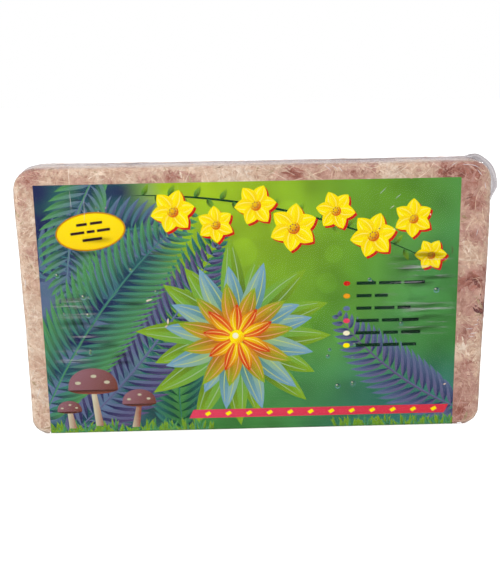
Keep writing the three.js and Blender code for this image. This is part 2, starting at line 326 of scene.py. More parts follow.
def strand_material():
    """Dry moss: each strand's own tint, mottled, and crossed by the close-set leaves that clothe it."""
    material, tree, shader = new_material("dry_moss_strands", roughness=0.82)
    lie = add_node(tree, "SeparateXYZ", {0: attribute(tree, "lie", "Vector")}).outputs
    slanted = math_node(tree, "MULTIPLY_ADD", math_node(tree, "ABSOLUTE", lie["X"]), 0.55, lie["Y"])
    leaf = math_node(tree, "FRACT", math_node(tree, "MULTIPLY", slanted, LEAVES_PER_MM))
    leafy = math_node(tree, "MULTIPLY", leaf, lie["Z"])
    grain = noise_node(tree, 1500, 3, 0.6)
    grain_shade = math_node(tree, "MULTIPLY_ADD", grain, 0.7, 0.65)
    shade = math_node(tree, "MULTIPLY", math_node(tree, "MULTIPLY_ADD", leafy, -0.18, 1.07), grain_shade)
    mottle = color_ramp(
        tree, noise_node(tree, 420, 4, 0.6),
        (0.32, (0.78, 0.67, 0.64)), (0.48, (0.96, 0.94, 0.93)), (0.66, (1.1, 1.13, 1.16)),
    )
    tint = multiply_color(tree, attribute(tree, "tint", "Color"), mottle)
    relief = math_node(tree, "ADD", leafy, grain)
    dress(tree, shader, multiply_color(tree, tint, shade), 0.15, relief, 0.00008, 0.7)
    return material


def core_material():
    """The moss between the strands, pressed into a felt of scraps."""
    material, tree, shader = new_material("matted_moss", roughness=0.95)
    place = add_node(tree, "TexCoord").outputs["Object"]
    scraps = add_node(tree, "TexVoronoi", {"Vector": place, "Scale": 620}).outputs["Color"]
    pick = add_node(tree, "SeparateColor", {0: scraps}).outputs[0]
    blend = math_node(tree, "MULTIPLY_ADD", pick, 0.34, noise_node(tree, 330, 4, 0.6))
    felt = color_ramp(
        tree, blend, (0.42, (0.66, 0.56, 0.54)), (0.62, (0.86, 0.82, 0.8)), (0.86, (1.04, 1.04, 1.04)),
    )
    color = multiply_color(tree, attribute(tree, "tint", "Color"), felt)
    dress(tree, shader, color, 0.1, noise_node(tree, 1300, 4), 0.0003)
    return material


def print_material():
    """Inks on smooth card."""
    material, tree, shader = new_material("printed_card", roughness=0.38)
    shade = math_node(tree, "MULTIPLY_ADD", noise_node(tree, 2600, 2), 0.2, 0.9)
    inks = multiply_color(tree, attribute(tree, "ink", "Color"), shade)
    dress(tree, shader, inks, 0.03, noise_node(tree, 5000, 2), 0.00001, 0.5)
    return material


# How strongly the film mirrors what is round it, and the colour its tint turns to where it is scorched at the
# seal and where painted shade darkens it
FILM_BEND = 1.12
SCORCH_AND_SHADE_FILM = (0.44, 0.41, 0.42)


# Each film's name, colour, haze, haze colour, roughness and depth of its finest wrinkles in metres; the haze
# is partly the film's own cloudiness and partly a painted sheen, and on creased_film a painted glint
FILM_FINISHES = [
    ("clear_film", (0.985, 0.985, 0.99), 0.003, (0.72, 0.69, 0.75), 0.08, 0.0001),
    ("gathered_film", (0.93, 0.92, 0.925), 0.16, (0.46, 0.44, 0.46), 0.12, 0.0002),
    ("creased_film", (0.98, 0.98, 0.99), 0.36, (0.85, 0.85, 0.9), 0.1, 0.0001),
]


def film_material(name, clear_color, haze, haze_color, roughness, wrinkle):
    """Clear shrink film: it lets light through, shines, and along its creases carries painted pale highlights
    and painted dark shade.
    """
    material = bpy.data.materials.new(name)
    material.use_nodes = True
    tree = material.node_tree
    tree.nodes.remove(tree.nodes["Principled BSDF"])
    creased, scorch_and_shade, haze_and_painted_sheen = (attribute(tree, layer) for layer in ("creased", "scorch_and_shade", "haze_and_painted_sheen"))
    # Along the creases, pale noise lines are painted highlights and dark noise lines are painted shade
    lines = math_node(tree, "MULTIPLY_ADD", noise_node(tree, 1, 3, 0.55, (38, 38, 620)), 8, -4.4, held=True)
    folds = math_node(tree, "MULTIPLY_ADD", noise_node(tree, 1, 1, 0.4, (30, 30, 380)), -6, 2.75, held=True)
    pale = math_node(tree, "MULTIPLY", lines, creased)
    dark = math_node(tree, "MULTIPLY", folds, math_node(tree, "POWER", creased, 2))
    # The tint darkens to its scorched colour at the seal, and as painted shade along the dark lines and
    # streaks
    tint = color_ramp(tree, math_node(tree, "MAXIMUM", dark, scorch_and_shade), (0, clear_color), (1, SCORCH_AND_SHADE_FILM))
    # The film clouds where it is gathered and carries a painted sheen, with painted highlights along the
    # creases
    cloud_and_sheen = math_node(tree, "MULTIPLY_ADD", haze_and_painted_sheen, 0.28, haze)
    cloud_and_sheen = math_node(tree, "MULTIPLY_ADD", pale, 0.24, cloud_and_sheen)
    relief = math_node(tree, "MULTIPLY_ADD", pale, 3, noise_node(tree, 420, 3))
    bump = add_node(tree, "Bump", {"Height": relief, "Distance": wrinkle}).outputs["Normal"]
    clear = add_node(tree, "BsdfTransparent", {"Color": tint}).outputs[0]
    veil = add_node(tree, "BsdfDiffuse", {"Color": (*haze_color, 1)}).outputs[0]
    gloss = add_node(tree, "BsdfGlossy", {"Roughness": roughness, "Normal": bump}).outputs[0]
    mirrored = add_node(tree, "Fresnel", {"IOR": FILM_BEND, "Normal": bump}).outputs[0]
    hazy = add_node(tree, "MixShader", {0: cloud_and_sheen, 1: clear, 2: veil}).outputs[0]
    film = add_node(tree, "MixShader", {0: mirrored, 1: hazy, 2: gloss}).outputs[0]
    tree.links.new(film, tree.nodes["Material Output"].inputs["Surface"])
    return material


# ---------------------------------------------------------------- pressed moss

SWELL_CELL, SWELL = 17, 0.28
# Where the brick's sides bulge: which side, level, spread and height
BULGES = [(-1, 103, 20, 0.5), (1, 88, 46, 1.1)]
# How far a strand's edges are rooted in the brick, and how round its shading is
ROOTED, PILLOW = 0.12, 0.4
CARD_MARGIN = 0.5
# How the strands are shared out over the brick's sides, by axis and sign
MOSS_SHARES = {(0, -1): 0.07, (0, 1): 0.07, (1, -1): 0.3, (1, 1): 0.3, (2, -1): 0.13, (2, 1): 0.13}

# Red-brown and cream patches on the front, and three dark spots at its right edge: x, z, radius and how far
# they shift the moss's tone
FRONT_PATCHES = [
    (-93.5, 115, 4.2, -0.55), (-61, 113.5, 1.8, -0.35), (-52, 117, 1.8, -0.3), (-46, 113.5, 2.4, -0.3),
    (-34, 114, 3.0, -0.42), (-26, 114.5, 1.6, -0.25), (18.5, 114.5, 3.2, -0.45), (42, 114.6, 1.9, -0.4),
    (50.5, 116.4, 2.4, -0.4), (81.5, 114.6, 3.6, -0.5), (88, 114.5, 3.5, -0.46), (94, 113, 5.5, -0.45),
    (92, 104, 4.5, -0.2), (96.5, 100, 3.4, -0.3), (96, 86, 3.0, -0.3), (91, 64.5, 3.6, -0.35),
    (97, 68, 4.0, -0.35), (95, 66, 2.6, -0.3), (94, 13, 5.5, -0.1), (88.8, 34.5, 5.4, 0.5),
    (91.5, 78, 4.0, 0.2), (60, 114.6, 8.0, 0.2), (-95, 84, 4.0, -0.15), (94.6, 44.5, 3.6, -0.25),
    (99.9, 57.4, 1.3, -0.9), (99.7, 55.0, 1.4, -0.95), (-97, 105, 2.6, -0.3), (-8, 115, 11, 0.25),
    (89.6, 41, 2.6, -0.25), (94, 28.5, 4.0, -0.2), (90.5, 6, 4.2, -0.36), (99.6, 52.7, 1.3, -0.9),
]


def under_card(p, margin=CARD_MARGIN):
    x, y, z = np.moveaxis(p, -1, 0)
    inside = (x > CARD_LOW[0] - margin) & (x < CARD_HIGH[0] + margin) & (z < CARD_HIGH[2] + margin)
    return inside & (y < CARD_HIGH[1] + 1)


def tucked_under_card(p):
    """Holds what runs under the card behind its face, and what lies beside it about level with that."""
    x, y, z = p.T
    away = np.maximum(np.maximum(CARD_LOW[0] - x, x - CARD_HIGH[0]), z - CARD_HIGH[2])
    limit = CARD_LOW[1] + 0.03 - 0.2 * np.maximum(away, 0)
    p[:, 1] = np.where(y < CARD_HIGH[1] + 1, np.maximum(y, limit), y)
    return p


def swell(p):
    """How far the brick's uneven surface stands out, with little on the front and none at the base."""
    settled = smoothstep(p[:, 2], 1, 7) * np.where(p[:, 1] < -8, 0.25, 1)
    height = SWELL * soft_noise(p, SWELL_CELL, 5) * settled
    for side, level, spread, bulge in BULGES:
        height += bulge * smoothstep(side * p[:, 0], 92, 99) * hump(p[:, 2] - level, spread)
    return height


def moss_core():
    bm, p = block_lattice(MOSS, (118, 15, 70))
    normal = MOSS.normal(p)
    rough = 0.06 * soft_noise(p, 2.3, 8) + 0.04 * soft_noise(p, 1.1, 9)
    lift = np.where(under_card(p, -1.8), -0.35, swell(p) + rough)
    p = tucked_under_card(p + normal * lift[:, None])
    p[:, 2] = np.maximum(p[:, 2], 0.3)
    move_vertices(bm, p)
    paint = bm.verts.layers.float_color.new("tint")
    for vertex, tint in zip(bm.verts, blend_colors(moss_paleness(p) - 0.05, MOSS_TONES)):
        vertex[paint] = (*tint, 1)
    core = add_piece(finished_mesh("moss_pressed_core", bm, core_material()))
    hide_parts("moss_brick")
    return core


def strand_shape(rings):
    """A slim closed strand: for each vertex its place across, its rise and its ring, with its faces."""
    bm = bmesh.new()
    bmesh.ops.create_cone(bm, cap_ends=True, segments=3, radius1=1, radius2=1, depth=2)
    along = [e for e in bm.edges if abs(e.verts[0].co.z - e.verts[1].co.z) > 1]
    bmesh.ops.subdivide_edges(bm, edges=along, cuts=rings - 2, use_grid_fill=True)
    bmesh.ops.triangulate(bm, faces=bm.faces[:])
    bmesh.ops.recalc_face_normals(bm, faces=bm.faces[:])
    co = np.array([v.co for v in bm.verts])
    turn = pi / 2 - np.arctan2(co[0, 1], co[0, 0])
    x, y = co[:, 0] * cos(turn) - co[:, 1] * sin(turn), co[:, 0] * sin(turn) + co[:, 1] * cos(turn)
    ring = np.rint((co[:, 2] + 1) / 2 * (rings - 1)).astype(int)
    faces = np.array([[v.index for v in f.verts] for f in bm.faces])
    bm.free()
    return x / cos(pi / 6), (y + 0.5) / 1.5, ring, faces


def starts_on_brick(count, random):
    """Random points over the brick's surface, with none under the card and more beside it."""
    p = points_on(MOSS, 8 * count, MOSS_SHARES, random)
    return MOSS.settle(p[~under_card(p)][:count])


def walk(start, heading, length, bend, rings, margin=-3):
    """Paths along the brick's surface through the starts, without those that run far under the card.

    It gives which are kept, their rings of points and the normals there.
    """
    step = (length / (rings - 1))[:, None]

    def one_way(direction, turn, count):
        p, path = start, []
        for _ in range(count):
            p = MOSS.settle(p + direction * step)
            normal = MOSS.normal(p)
            direction = laid_flat(direction + np.cross(normal, direction) * (turn[:, None] * step), normal)
            path.append(p)
        return path

    behind = one_way(-heading, -bend, (rings - 1) // 2)
    ahead = one_way(heading, bend, rings // 2)
    path = np.stack([*reversed(behind), start, *ahead], axis=1)
    clear = ~under_card(path, margin).any(axis=1)
    path = path[clear]
    return clear, path, MOSS.normal(path.reshape(-1, 3)).reshape(path.shape)


def lay_strands(name, path, normal, sizes, taper, tint, leafy, random, material):
    """One piece of many strands along paths on the brick, each with its width, thickness and level."""
    count, rings = path.shape[:2]
    across, rise, ring, faces = strand_shape(rings)
    width, thick, level = (size[:, None] for size in sizes)
    sideways = unit(np.cross(normal, unit(np.gradient(path, axis=1))))
    lean = random.uniform(-0.08, 0.08, (count, 1))
    uneven = random.uniform(0.78, 1.15, (count, rings)) * taper
    weave = 0.03 * np.sin(np.arange(rings) * 1.3 + random.uniform(0, tau, (count, 1)))
    half_width = (width / 2 * uneven)[:, ring]
    height = (thick * np.sqrt(uneven))[:, ring]
    p = path[:, ring] + sideways[:, ring] * (across * half_width)[..., None]
    out = (level + weave)[:, ring] + lean * across * half_width + rise * (height + ROOTED) - ROOTED
    p = p.reshape(-1, 3)
    p += MOSS.normal(p) * (out.ravel() + swell(p) - MOSS.distance(p))[:, None]
    p[:, 2] = np.maximum(p[:, 2], 0.2)
    mesh = bpy.data.meshes.new(name)
    mesh.materials.append(material)
    tiled = faces[None] + (np.arange(count) * len(across))[:, None, None]
    mesh.from_pydata(tucked_under_card(p), [], tiled.reshape(-1, 3))
    stride = np.linalg.norm(np.diff(path, axis=1, prepend=path[:, :1]), axis=2)
    lie = np.zeros((count, len(across), 3))
    lie[..., 0] = across
    lie[..., 1] = np.cumsum(stride, axis=1)[:, ring]
    lie[..., 2] = leafy
    mesh.attributes.new("lie", "FLOAT_VECTOR", "POINT").data.foreach_set("vector", lie.ravel())
    paint = np.ones((count, len(across), 4))
    paint[..., :3] = tint[:, None]
    mesh.attributes.new("tint", "FLOAT_COLOR", "POINT").data.foreach_set("color", paint.ravel())
    piece = add_piece(mesh)
    facing = unit(normal[:, ring] + sideways[:, ring] * (PILLOW * across)[:, None])
    mesh.normals_split_custom_set_from_vertices(facing.reshape(-1, 3))
    return piece


def headings(start, random):
    """A random direction in the surface at each start, mostly along the brick's sides."""
    return laid_flat(random.normal(size=start.shape) * [1, 0.5, 1], MOSS.normal(start))


def moss_paleness(p):
    """How pale the moss is at each point, 0 to 1: in patches, and darker and redder to the right."""
    paleness = 0.61 + 0.13 * soft_noise(p, 8, 31) + 0.13 * soft_noise(p, 3.2, 32) - 0.001 * p[:, 0]
    on_front = smoothstep(-p[:, 1], 4, 8)
    stained = soft_noise(p, 7, 33) + 0.4 * soft_noise(p, 2.2, 35)
    paleness -= 0.32 * (1 - on_front) * smoothstep(stained, 0.3, 0.85)
    ragged = 1 + 0.3 * soft_noise(p, 1.6, 34)
    for x, z, radius, shift in FRONT_PATCHES:
        away = ragged * np.hypot(p[:, 0] - x, p[:, 2] - z) / radius
        paleness += 0.88 * shift * on_front * np.exp(-away**3)
    return paleness


MOSS_TONES = [
    (-0.35, PURPLE_BROWN), (0.0, DARK_RUSSET), (0.14, RUSSET), (0.3, ROSY_BROWN), (0.46, PINK_TAN),
    (0.62, TAN), (0.8, STRAW), (1.0, CREAM),
]


def moss_tints(p, random, lift=0.0):
    tint = blend_colors(moss_paleness(p) + random.normal(0, 0.06, len(p)) + lift, MOSS_TONES)
    draw = random.random((len(p), 1))
    tint = np.where(draw < 0.015, OLIVE, tint)
    return tint * random.uniform(0.92, 1.06, (len(p), 1))


def scatter(count, lengths, bend, rings, random):
    """Random paths over the brick: their starts, rings of points and normals."""
    start = starts_on_brick(count, random)
    length = random.uniform(*lengths, len(start))
    heading = headings(start, random)
    clear, path, normal = walk(start, heading, length, random.normal(0, bend, len(start)), rings)
    return start[clear], path, normal


def draws(random, count, *ranges):
    return [random.uniform(low, high, count) for low, high in ranges]


def moss_branchlets(part, material):
    """A third of the flattened branchlets, which are the bulk of the brick's surface."""
    rings = 7
    random = np.random.default_rng(100 + part)
    start, path, normal = scatter(4300, (3, 10.5), 0.07, rings, random)
    sizes = draws(random, len(path), (0.9, 2.3), (0.05, 0.11), (-0.04, 0.08))
    taper = np.sin(pi * (np.arange(rings) + 0.3) / (rings - 0.4)) ** 0.5
    name = f"moss_branchlets_{part + 1}"
    return lay_strands(name, path, normal, sizes, taper, moss_tints(start, random), 1, random, material)


def moss_stems(material):
    """Longer, slimmer, paler stems that wander among the branchlets."""
    random = np.random.default_rng(200)
    start, path, normal = scatter(1000, (8, 26), 0.1, 11, random)
    sizes = draws(random, len(path), (0.2, 0.46), (0.12, 0.2), (0.02, 0.1))
    tint = moss_tints(start, random, lift=0.1)
    return lay_strands("moss_stems", path, normal, sizes, 1, tint, 0, random, material)


def moss_heads(material):
    """Moss heads pressed flat: short pointed branchlets in a star round each tip."""
    random = np.random.default_rng(250)
    heads, rays, rings = 90, 12, 6
    centre = starts_on_brick(heads, random)
    first = headings(centre, random)
    second = np.cross(MOSS.normal(centre), first)
    angle = tau * np.arange(rays) / rays + random.normal(0, 0.16, (heads, rays))
    heading = first[:, None] * np.cos(angle)[..., None] + second[:, None] * np.sin(angle)[..., None]
    heading = heading.reshape(-1, 3)
    length = random.uniform(2.2, 4.4, heads * rays)
    centre = np.repeat(centre, rays, axis=0)
    start = MOSS.settle(centre + heading * (0.52 * length)[:, None])
    clear, path, normal = walk(start, heading, length, random.normal(0, 0.08, len(start)), rings, margin=-1)
    tint = moss_tints(centre[clear], random, lift=0.05)
    sizes = draws(random, len(path), (0.8, 1.3), (0.08, 0.14), (0.04, 0.1))
    taper = np.linspace(1.1, 0.25, rings)
    return lay_strands("moss_pressed_heads", path, normal, sizes, taper, tint, 0.8, random, material)


def moss_flakes(material):
    """Broad flattened leaf scraps, and a few slim dark crumbs."""
    rings = 5
    random = np.random.default_rng(300)
    start, path, normal = scatter(3600, (1, 4), 0.1, rings, random)
    tint = moss_tints(start, random)
    dark = random.random(len(path)) < 0.02
    slim, broad, *depths = draws(random, len(path), (0.3, 0.7), (1.0, 2.8), (0.05, 0.1), (0.03, 0.1))
    sizes = [np.where(dark, slim, broad), *depths]
    tint = np.where(dark[:, None], DARK, tint)
    taper = np.sin(pi * (np.arange(rings) + 0.5) / rings)
    return lay_strands("moss_leaf_scraps", path, normal, sizes, taper, tint, 0.4, random, material)


# ---------------------------------------------------------------- printed card


def gradient(start, end, ink_from, ink_to):
    """An ink that changes evenly from one place to another."""
    start, end = np.array(start, float), np.array(end, float)
    way = (end - start) / max(np.sum((end - start) ** 2), 1e-9)

    def shade(p):
        share = np.clip((p - start) @ way, 0, 1)[:, None]
        return ink_from * (1 - share) + ink_to * share

    return shade


def plain(ink):
    return lambda p: np.broadcast_to(ink, (len(p), 3))


LIME = tone(160, 190, 30)
GRASS = tone(136, 176, 40)
GREEN = tone(96, 150, 46)
SEA_GREEN = tone(88, 158, 84)
LEAF = tone(60, 124, 56)
DEEP_GREEN = tone(18, 58, 34)
TEAL = tone(58, 118, 118)
SLATE = tone(98, 116, 148)
NAVY = tone(34, 42, 84)
VIOLET = tone(98, 84, 124)
SKY_BLUE = tone(126, 168, 196)
YELLOW = tone(255, 234, 0)
AMBER = tone(236, 160, 20)
ORANGE = tone(238, 118, 24)
SCARLET = tone(204, 34, 22)
PINK_RED = tone(228, 68, 98)
BROWN = tone(150, 84, 66)
DARK_BROWN = tone(56, 32, 30)
MAUVE = tone(150, 106, 116)
CREAM_INK = tone(246, 238, 204)
BARE_CARD = (0.6, 0.58, 0.5, 1)


class Artwork:
    """Closed outlines in the order they are printed, in millimetres from the card's lower left."""

    def __init__(self):
        self.outlines, self.shades = [], []

    def add(self, outline, shade):
        outline = np.array(outline, float)
        x, z = outline.T
        clockwise = np.sum(x * np.roll(z, -1) - z * np.roll(x, -1)) < 0
        self.outlines.append(outline[::-1] if clockwise else outline)
        self.shades.append(shade)

    def oval(self, centre, width, height, shade, turn=0.0, steps=28):
        x, z = (compass(np.linspace(0, tau, steps, endpoint=False)) * [width / 2, height / 2]).T
        turned = np.stack([x * cos(turn) - z * sin(turn), x * sin(turn) + z * cos(turn)], 1)
        self.add(np.array(centre) + turned, shade)

    def bar(self, start, along, up, shade):
        """A four-sided bar, from the middle of its left end, along one vector and up and down another."""
        start, along, up = (np.array(vector, float) for vector in (start, along, up))
        self.add([start - up, start + along - up, start + along + up, start + up], shade)

    def leaf(self, start, heading, length, width, bend, inks, veins=(), steps=8, blunt=0.75):
        """A leaf in two halves, lit and dim, that both change to a third ink towards its tip.

        Thin veins run along its bent rib at shares of its half width.
        """
        lit, dim, tip = inks
        t = np.linspace(0, 1, steps + 1)
        along = compass(heading + bend * t)
        travelled = np.concatenate([[[0, 0]], np.cumsum((along[1:] + along[:-1]) / 2, 0)])
        rib = np.array(start) + travelled * length / steps
        out = along[:, ::-1] * [-1, 1]
        half = width / 2 * np.sin(pi * t**blunt) ** 0.85
        for side, ink in ((1, lit), (-1, dim)):
            edge = rib + out * (side * half)[:, None]
            self.add([*rib, *edge[-2:0:-1]], gradient(rib[0], rib[-1], ink, tip))
        for vein in veins:
            line = rib + out * (vein * half)[:, None]
            thin = out * (0.02 * width * np.sin(pi * t) + 0.02)[:, None]
            self.add([*(line + thin)[1:-1], *(line - thin)[-2:0:-1]], plain(0.7 * lit + 0.3 * CREAM_INK))
        return rib


GLOW = (74, 108)
GLOW_STOPS = [(0, LIME), (42, GRASS), (78, GREEN), (110, 0.8 * SEA_GREEN), (135, LEAF)]
DUSK_STOPS = [(-0.6, NAVY), (0.0, 0.6 * TEAL), (0.6, SLATE)]


def paint_background(p):
    """Soft light through leaves: lime at its brightest, green away from it, and blue shade to the left."""
    x, z = p.T
    flat = np.stack([x, z, 0 * x], axis=1)
    away = np.hypot(x - GLOW[0], 1.2 * (z - GLOW[1])) + 9 * soft_noise(flat, 26, 51)
    low = smoothstep(46 + 8 * soft_noise(flat, 20, 54) - z, 0, 46) * smoothstep(x, 95, 160)
    low = 0.8 * low[:, None]
    ink = blend_colors(away, GLOW_STOPS) * (1 - low) + TEAL * low
    shade = smoothstep(62 + 14 * soft_noise(flat, 22, 52) - x, 0, 30)[:, None]
    ink = ink * (1 - shade) + blend_colors(soft_noise(flat * [1, 1.8, 1], 13, 55), DUSK_STOPS) * shade
    return ink * (1 + 0.16 * soft_noise(flat, 9, 53) + 0.08 * soft_noise(flat, 4, 56))[:, None]


def glowing(share, glow=0):
    """The background's ink with a glow laid over it."""
    return lambda p: share * paint_background(p) + glow


def light_discs(art):
    """Spots of light out of focus behind the plants, bluer to the left."""
    random = np.random.default_rng(91)
    for _ in range(26):
        centre = random.uniform((14, 20), (172, 104))
        size = random.uniform(5, 15)
        shade = glowing(0.6, 0.3 * TEAL + 0.12 * SKY_BLUE) if centre[0] < 55 else glowing(1.15)
        art.oval(centre, size, size, shade, steps=24)


def frond(art, start, heading, length, bend, reach, lit, dim, tip):
    """A fern frond: leaflets in pairs along a bent stalk, longest a third of the way up."""
    pairs = int(length / 3.6)
    t = (np.arange(pairs) + 0.5) / pairs
    angle = heading + bend * t
    stalk = np.array(start) + np.cumsum(compass(angle), 0) * length / pairs
    for place, turn, share in zip(stalk, angle, t):
        size = reach * sin(pi * share**0.6) ** 0.7 + 1
        width = 3.5 * (1 - 0.4 * share)
        for side in (1, -1):
            art.leaf(place, turn + side * 1.12, size, width, -side * 0.5, (lit, dim, tip), steps=5)
    art.leaf(start, heading, length * 1.02, 1.1, bend, (lit, tip, lit), steps=10)


def rosette(art, centre):
    """A plant seen from above: four whorls of pointed leaves, reddening towards the middle."""
    whorls = [
        (15, 40, 10.5, (SEA_GREEN, DEEP_GREEN, GRASS), 0.0),
        (13, 31, 9.0, (LIME, LEAF, SKY_BLUE), 0.2),
        (11, 23, 7.5, (ORANGE, SCARLET, GRASS), 0.1),
        (9, 14, 5.5, (YELLOW, ORANGE, SCARLET), 0.3),
    ]
    random = np.random.default_rng(61)
    for count, length, width, inks, turn in whorls:
        for i in random.permutation(count):
            heading = turn + tau * i / count + random.uniform(-0.08, 0.08)
            size = length * random.uniform(0.88, 1.08)
            start = centre + 2.2 * compass(heading)
            art.leaf(start, heading, size, width, random.uniform(-0.3, 0.3), inks, (-0.5, 0.5), 9, 0.9)
    art.oval(centre, 6.5, 6.5, gradient(centre, centre + (3, -3), YELLOW, ORANGE))
    art.oval(centre + (-0.6, 0.6), 2.6, 2.6, plain(CREAM_INK))


def blossom(art, centre, radius, turn):
    """A star of six petals with a red shadow under it and a domed eye."""
    shadow = (centre + (0.9, -0.9), (SCARLET, SCARLET, SCARLET), (), 7)
    star = (centre, (YELLOW, AMBER * 0.4 + YELLOW * 0.6, YELLOW), (-0.45, 0.45), 8)
    for middle, inks, veins, steps in (shadow, star):
        for i in range(6):
            art.leaf(middle, turn + tau * i / 6, radius, radius * 0.72, 0.0, inks, veins, steps, 0.95)
    domed = gradient(centre + (-1.5, 1.5), centre + (2, -2), YELLOW, SCARLET)
    art.oval(centre + (0.2, -0.3), radius * 0.5, radius * 0.5, plain(ORANGE * 0.8))
    art.oval(centre, radius * 0.44, radius * 0.44, domed)
    for i in range(7):
        dot = centre + radius * 0.13 * compass(tau * i / 7)
        art.oval(dot, radius * 0.07, radius * 0.07, plain(BROWN), steps=8)


def mushroom(art, x, z, height, cap, lean):
    """A brown cap on a pale stalk, with its gills showing under it."""
    top = np.array([x + lean, z + height])
    stalk = [(x - 1.6, z), (x + 1.8, z), top + (1.1, 0), top - (1.1, 0)]
    art.add(stalk, gradient((x - 2, z), (x + 2, z), CREAM_INK * 0.7, BROWN))
    art.oval(top + (0, 0.2), cap, cap * 0.2, gradient(top, top - (0, 2), DARK_BROWN, BROWN))
    t = np.linspace(0, pi, 16)
    dome = top + np.stack([cap / 2 * np.cos(t), cap * 0.46 * np.sin(t) ** 0.8], 1)
    art.add(dome, gradient(top + (-cap / 3, cap / 2), top + (cap / 2, 0), MAUVE, BROWN * 0.6))
    for share in (-0.3, 0.02, 0.28):
        spot = top + cap * np.array([share, 0.3 - 0.5 * abs(share)])
        art.oval(spot, cap * 0.12, cap * 0.07, plain(CREAM_INK * 0.6), steps=12)


def note_rows(art, left, top, spacing):
    """Rows of one coloured dot and a few plain dashes."""
    random = np.random.default_rng(71)
    for row, dot in enumerate((SCARLET, AMBER, SLATE, PINK_RED, CREAM_INK, YELLOW)):
        z = top - row * spacing
        art.oval((left, z), 3.0, 2.2, plain(dot), steps=16)
        x = left + 4.2
        for _ in range(int(random.integers(2, 4))):
            length = random.uniform(5.5, 11)
            art.bar((x, z), (length, 0), (0, 0.75), plain(DEEP_GREEN * 0.7))
            x += length + 1.3


def tufts(art, left, right, level):
    """A low bank of moss tufts: short blades that overlap, darker at their feet."""
    random = np.random.default_rng(97)
    for x in np.sort(random.uniform(left, right, 150)):
        heading = random.uniform(1.1, 2.05)
        lit, tip = (LEAF, GRASS) if random.random() < 0.6 else (TEAL, SEA_GREEN)
        height = random.uniform(4, 9) * level
        bend = random.uniform(-0.5, 0.5)
        art.leaf((x, -2), heading, height, 1.3, bend, (lit, DEEP_GREEN, tip), steps=4)


def dewdrops(art, count, low, high):
    """Round drops of water, dark below and lit at the rim, with a spark of light in each."""
    random = np.random.default_rng(98)
    for centre in random.uniform(low, high, (count, 2)):
        size = random.uniform(1.1, 2.6)
        top, foot = centre + (0, size / 2), centre - (0, size / 2)
        art.oval(centre, size, size, gradient(top, foot, DEEP_GREEN, SKY_BLUE), steps=16)
        art.oval(centre, size * 0.8, size * 0.8, gradient(top, foot, NAVY, SEA_GREEN), steps=16)
        art.oval(centre + (-0.18 * size, 0.2 * size), size * 0.26, size * 0.2, plain(CREAM_INK), steps=8)


# The badge's dashes: how high in it, how far along it they start, and their length
BADGE_DASHES = [
    (3.4, -5.5, 4.6), (3.4, 0.4, 5.2), (0, -8.6, 6), (0, -1.6, 3.4), (0, 2.8, 5.6), (-3.4, -4, 8.4),
]


def badge(art, centre, tilt):
    """A yellow oval with rows of plain dashes."""
    along, up = compass(tilt), compass(tilt + pi / 2)
    face = gradient(centre + 14 * up, centre - 14 * up, YELLOW, AMBER * 0.4 + YELLOW * 0.6)
    art.oval(centre, 30, 16.5, plain(AMBER * 0.7), tilt)
    art.oval(centre, 28.6, 15.2, face, tilt)
    for row, start, length in BADGE_DASHES:
        art.bar(centre + row * up + start * along, length * along, 0.6 * up, plain(DARK_BROWN))


def ribbon(art, left, right, low, high):
    """A straight slanting band with a row of small lozenges."""
    middle, half = (low + high) / 2, (high - low) / 2
    band = gradient((left, 0), (right, 0), PINK_RED, SCARLET * 0.5 + PINK_RED * 0.5)
    art.bar((left + 1, middle), (right - left, 0), (1, half), band)
    for x in np.linspace(left + 8, right - 5, 12):
        lozenge = np.array([(0, -1.2), (1.9, 0), (0.9, 1.2), (-1.1, 0)])
        art.add((x, middle) + lozenge, plain(YELLOW))


# Blossoms along the garland: x, z, radius and turn
GARLAND = [
    (58, 99, 9.5, 0.2), (76, 93, 8, 0.6), (93, 101, 9, 0.1), (109, 91, 10.5, 0.4), (127, 98, 8.5, 0.9),
    (143, 87, 10, 0.2), (160, 94, 8.5, 0.5), (168, 78, 7, 0.0),
]


def draw_artwork():
    art = Artwork()
    out = compass(pi * np.linspace(-1, 1, 320, endpoint=False))
    edge = (out / np.abs(out).max(axis=1, keepdims=True) + 1) / 2 * [CARD_WIDTH, CARD_HEIGHT]
    art.add(edge, paint_background)
    light_discs(art)
    frond(art, (-6, 70), 0.75, 74, -0.9, 20, TEAL, NAVY, SLATE)
    frond(art, (30, 120), -2.2, 66, 0.7, 17, SLATE, NAVY, SEA_GREEN)
    frond(art, (60, -6), 1.75, 104, -0.75, 22, LEAF, DEEP_GREEN, TEAL)
    frond(art, (6, -4), 0.72, 112, 0.35, 24, SLATE, NAVY, VIOLET)
    frond(art, (-4, 4), 1.18, 118, -0.5, 26, TEAL, NAVY, SEA_GREEN)
    frond(art, (186, 6), 2.75, 74, -0.55, 17, VIOLET, NAVY, SLATE)
    rosette(art, np.array([84.0, 43.0]))
    tufts(art, -2, 72, 1)
    mushroom(art, 22, 3, height=17, cap=22, lean=-2)
    mushroom(art, 38, 2, height=11, cap=15, lean=2)
    mushroom(art, 10, 2, height=8, cap=11, lean=-1)
    tufts(art, -2, 60, 0.5)
    tufts(art, 128, 182, 0.9)
    dewdrops(art, 16, (6, 35), (56, 104))
    dewdrops(art, 12, (120, 18), (174, 70))
    note_rows(art, left=132, top=66, spacing=5.6)
    ribbon(art, 62, 176, 5.5, 9.5)
    stem = art.leaf((40, 106), 0.0, 142, 1.0, -0.5, (DEEP_GREEN, DEEP_GREEN, DEEP_GREEN), steps=26)
    for i, place in enumerate(stem[1:-1]):
        heading = (0.95, -1.0)[i % 2] - 0.5 * i / len(stem)
        art.leaf(place, heading, 5.6, 2.5, 0.3, (LEAF, DEEP_GREEN, GRASS), steps=5)
    for x, z, radius, turn in GARLAND:
        blossom(art, np.array([x, z]), radius, turn)
    badge(art, np.array([23.0, 91.0]), 0.12)
    return art


